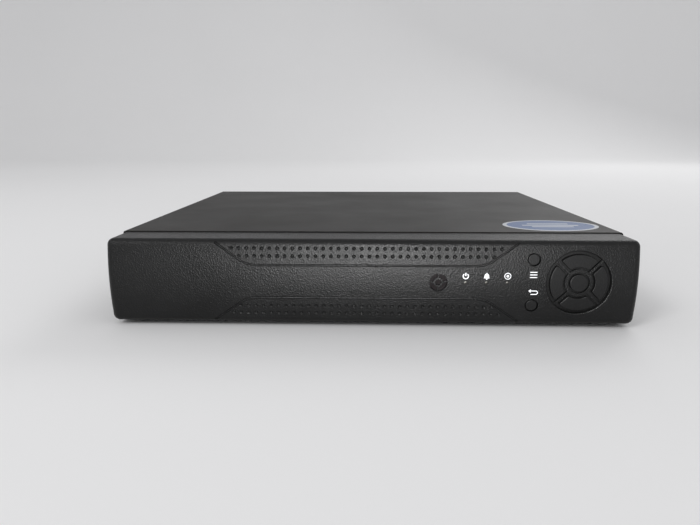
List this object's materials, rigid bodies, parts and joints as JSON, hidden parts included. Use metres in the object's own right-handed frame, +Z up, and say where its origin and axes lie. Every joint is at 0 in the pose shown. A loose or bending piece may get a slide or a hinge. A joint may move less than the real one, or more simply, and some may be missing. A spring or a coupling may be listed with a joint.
{
  "type": "video recorder",
  "caption": "Low flat desktop surveillance video recorder: steel case, curved black front with a round key pad and two small keys, rear connectors, hard drive inside.",
  "frame": {"origin": "on the table under the middle of the whole recorder, rear jacks included", "axes": "+Z up, -Y out of the front, +X to the right seen from the front"},
  "size_m": [0.255, 0.244, 0.044],
  "materials": {
    "front_plastic": "black moulded plastic with a fine spark texture",
    "key_plastic": "black moulded plastic, a little smoother than the front",
    "case_paint": "black textured powder coat on steel",
    "chassis_paint": "black powder coat on steel",
    "label_print": "printed label, blue with a pale edge and three bars",
    "foot_rubber": "matte black rubber",
    "black_screws": "black oxide",
    "zinc_screws": "zinc plated",
    "nickel": "bright nickel plate",
    "port_steel": "tinned steel",
    "gold_contacts": "gold plated",
    "brass_posts": "plain brass",
    "connector_black": "black moulded plastic",
    "connector_white": "off-white insulator",
    "connector_blue": "blue moulded plastic",
    "board_green": "green solder mask on glass laminate",
    "chip_black": "moulded chip package",
    "plunger_plastic": "pale moulded plastic",
    "sink_aluminium": "plain extruded",
    "cell_steel": "bright steel",
    "lamp_resin": "clear tinted resin",
    "filter_plastic": "very dark red filter",
    "cable_grey": "grey insulation",
    "cable_black": "black insulation",
    "drive_casting": "cast",
    "drive_steel": "brushed stainless",
    "drive_disc": "mirror polished"
  },
  "bodies": {
    "case": {"audio_jack_housing": "connector_black", "audio_jacks": "brass_posts", "bnc_housing": "connector_black", "bnc_inserts": "connector_white", "bnc_jacks": "nickel", "board_chips": "chip_black", "board_standoffs": "brass_posts", "bottom_chassis": "chassis_paint", "buzzer": "chip_black", "cable_plugs": "cable_black", "capacitors": "sink_aluminium", "coin_cell": "cell_steel", "coin_cell_holder": "chip_black", "cover_screws": "black_screws", "cover_sticker": "label_print", "digital_video_port": "port_steel", "drive_base": "drive_casting", "drive_cable": "cable_black", "drive_circuit_board": "board_green", "drive_lid": "drive_steel", "drive_magnets": "drive_steel", "foot_screws": "black_screws", "front_bezel": "front_plastic", "front_board": "board_green", "heat_sink": "sink_aluminium", "indicator_lamps": "lamp_resin", "ir_receiver": "filter_plastic", "ir_window": "filter_plastic", "jack_contacts": "gold_contacts", "machine_screws": "zinc_screws", "main_board": "board_green", "monitor_port": "nickel", "monitor_port_body": "connector_blue", "monitor_port_posts": "nickel", "network_port": "port_steel", "port_tongues": "connector_black", "power_inlet": "connector_black", "processor_chip": "chip_black", "ribbon_cable": "cable_grey", "rubber_feet": "foot_rubber", "self_tapping_screws": "zinc_screws", "tact_switches": "chip_black", "top_cover": "case_paint", "usb_ports": "port_steel"},
    "menu_button": {"menu_key": "key_plastic", "menu_plunger": "plunger_plastic"},
    "esc_button": {"esc_key": "key_plastic", "esc_plunger": "plunger_plastic"},
    "up_button": {"up_key": "key_plastic", "up_plunger": "plunger_plastic"},
    "down_button": {"down_key": "key_plastic", "down_plunger": "plunger_plastic"},
    "left_button": {"left_key": "key_plastic", "left_plunger": "plunger_plastic"},
    "right_button": {"right_key": "key_plastic", "right_plunger": "plunger_plastic"},
    "ok_button": {"ok_key": "key_plastic", "ok_plunger": "plunger_plastic"},
    "disc_pack": {"drive_platters": "drive_disc"},
    "head_arm": {"drive_arm": "drive_casting"}
  },
  "joints": [
    {"name": "menu_press", "type": "slide", "parent": "case", "child": "menu_button", "axis": [0, 1, 0], "range_m": [0, 0.0005], "stiffness_N_per_m": 1500, "springref_m": -0.0003},
    {"name": "esc_press", "type": "slide", "parent": "case", "child": "esc_button", "axis": [0, 1, 0], "range_m": [0, 0.0005], "stiffness_N_per_m": 1500, "springref_m": -0.0003},
    {"name": "up_press", "type": "slide", "parent": "case", "child": "up_button", "axis": [0, 1, 0], "range_m": [0, 0.0005], "stiffness_N_per_m": 1500, "springref_m": -0.0003},
    {"name": "down_press", "type": "slide", "parent": "case", "child": "down_button", "axis": [0, 1, 0], "range_m": [0, 0.0005], "stiffness_N_per_m": 1500, "springref_m": -0.0003},
    {"name": "left_press", "type": "slide", "parent": "case", "child": "left_button", "axis": [0, 1, 0], "range_m": [0, 0.0005], "stiffness_N_per_m": 1500, "springref_m": -0.0003},
    {"name": "right_press", "type": "slide", "parent": "case", "child": "right_button", "axis": [0, 1, 0], "range_m": [0, 0.0005], "stiffness_N_per_m": 1500, "springref_m": -0.0003},
    {"name": "ok_press", "type": "slide", "parent": "case", "child": "ok_button", "axis": [0, 1, 0], "range_m": [0, 0.0005], "stiffness_N_per_m": 1500, "springref_m": -0.0003},
    {"name": "disc_spin", "type": "hinge", "parent": "case", "child": "disc_pack", "pos_m": [-0.065, -0.0441, 0.0193], "axis": [0, 0, 1], "continuous": true},
    {"name": "arm_swing", "type": "hinge", "parent": "case", "child": "head_arm", "pos_m": [-0.012, -0.0679, 0.0193], "axis": [0, 0, 1], "range_deg": [0, 38]}
  ]
}
